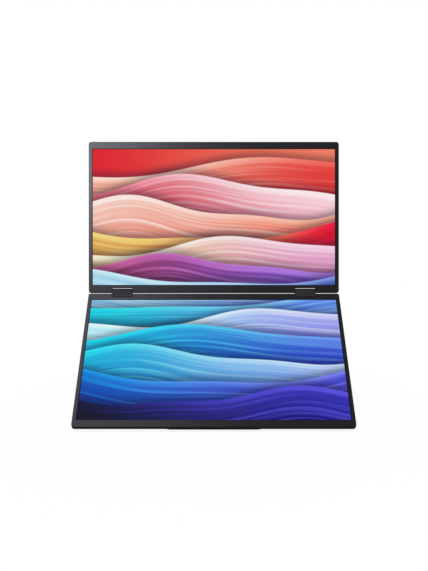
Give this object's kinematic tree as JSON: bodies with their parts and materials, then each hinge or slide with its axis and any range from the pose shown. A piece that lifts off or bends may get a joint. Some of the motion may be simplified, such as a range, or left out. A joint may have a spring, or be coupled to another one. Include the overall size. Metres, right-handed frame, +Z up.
{
  "type": "folding dual portable monitor",
  "caption": "Pair of slim flat displays joined edge to edge by a synchronised two-axis hinge, standing on a fold-out rear kickstand with side ports and buttons.",
  "frame": {"origin": "middle of the standing monitor's box on X and Y, on the table surface", "axes": "+X to the viewer's right, +Y away from the viewer, +Z up"},
  "size_m": [0.3542, 0.1824, 0.3672],
  "materials": {
    "bezel": "satin black",
    "cover": "satin dark grey",
    "screen": "glossy",
    "guide": "clear acrylic",
    "led": "white",
    "steel": "bare steel",
    "dark_screw": "blackened",
    "circuit": "green solder mask",
    "chip": "black epoxy",
    "ribbon": "flat cable",
    "port": "plated shell",
    "barrel": "dark anodised",
    "brass": "cut brass",
    "stand": "dark anodised",
    "foot": "matt rubber",
    "button": "satin black"
  },
  "bodies": {
    "lower": {"lower_front_bezel": "bezel", "lower_rear_cover": "cover", "lower_lcd_panel": "screen", "lower_light_guide": "guide", "lower_led_bar": "led", "lower_lcd_frame": "steel", "lower_driver_board": "circuit", "lower_panel_cable": "ribbon", "lower_hinge_leaf_left": "steel", "lower_hinge_leaf_right": "steel", "lower_hinge_shaft_left": "steel", "lower_hinge_shaft_right": "steel", "lower_leaf_screws": "steel", "lower_rivets": "steel", "lower_shaft_nuts": "steel", "lower_cover_screws": "dark_screw", "main_board": "circuit", "board_chips": "chip", "board_screws": "steel", "usb_c_port_a": "port", "usb_c_port_b": "port", "mini_hdmi_port": "port", "button_board": "circuit", "tact_switches": "chip", "front_foot": "foot", "rear_pads": "foot", "kickstand_bracket_left": "steel", "kickstand_bracket_right": "steel", "kickstand_pins": "steel", "kickstand_bracket_screws": "steel"},
    "hinge_links": {"hinge_barrel_left": "barrel", "hinge_barrel_right": "barrel", "hinge_barrel_caps": "barrel", "hinge_link_plates": "steel", "torque_washers": "steel"},
    "upper": {"upper_front_bezel": "bezel", "upper_rear_cover": "cover", "upper_lcd_panel": "screen", "upper_light_guide": "guide", "upper_led_bar": "led", "upper_lcd_frame": "steel", "upper_driver_board": "circuit", "upper_panel_cable": "ribbon", "upper_hinge_leaf_left": "steel", "upper_hinge_leaf_right": "steel", "upper_hinge_shaft_left": "steel", "upper_hinge_shaft_right": "steel", "upper_leaf_screws": "steel", "upper_rivets": "steel", "upper_shaft_nuts": "steel", "upper_cover_screws": "dark_screw"},
    "idler_a": {"idler_gears_lower": "brass"},
    "idler_b": {"idler_gears_upper": "brass"},
    "kickstand": {"kickstand_plate": "stand", "kickstand_foot": "foot"},
    "power_button": {"power_button": "button"},
    "menu_button": {"menu_button": "button"},
    "adjust_rocker": {"adjust_rocker": "button"}
  },
  "joints": [
    {"name": "link_fold", "type": "hinge", "parent": "lower", "child": "hinge_links", "pos_m": [-0.00025, 0.06292, 0.15039], "axis": [-1, 0, 0], "range_deg": [-70, 80]},
    {"name": "upper_fold", "type": "hinge", "parent": "hinge_links", "child": "upper", "pos_m": [-0.00025, 0.06599, 0.15668], "axis": [-1, 0, 0], "range_deg": [-70, 80]},
    {"name": "idler_a_spin", "type": "hinge", "parent": "hinge_links", "child": "idler_a", "pos_m": [-0.00025, 0.06402, 0.15264], "axis": [-1, 0, 0], "range_deg": [-105, 120]},
    {"name": "idler_b_spin", "type": "hinge", "parent": "hinge_links", "child": "idler_b", "pos_m": [-0.00025, 0.06489, 0.15443], "axis": [-1, 0, 0], "range_deg": [-120, 105]},
    {"name": "kickstand_swing", "type": "hinge", "parent": "lower", "child": "kickstand", "pos_m": [-0.00025, 0.00605, 0.08824], "axis": [1, 0, 0], "range_deg": [-86.88, 8.12]},
    {"name": "power_press", "type": "slide", "parent": "lower", "child": "power_button", "axis": [-1, 0, 0], "range_m": [0, 0.00035], "stiffness_N_per_m": 3000},
    {"name": "menu_press", "type": "slide", "parent": "lower", "child": "menu_button", "axis": [-1, 0, 0], "range_m": [0, 0.00035], "stiffness_N_per_m": 3000},
    {"name": "rocker_tip", "type": "hinge", "parent": "lower", "child": "adjust_rocker", "pos_m": [0.17335, 0.02091, 0.10579], "axis": [0, -0.6947, 0.7193], "range_deg": [-2, 2], "stiffness_Nm_per_rad": 0.2}
  ],
  "couplings": [
    {"joint": "upper_fold", "follows": "link_fold", "ratio": 1},
    {"joint": "idler_a_spin", "follows": "link_fold", "ratio": 1.5},
    {"joint": "idler_b_spin", "follows": "link_fold", "ratio": -1.5}
  ]
}
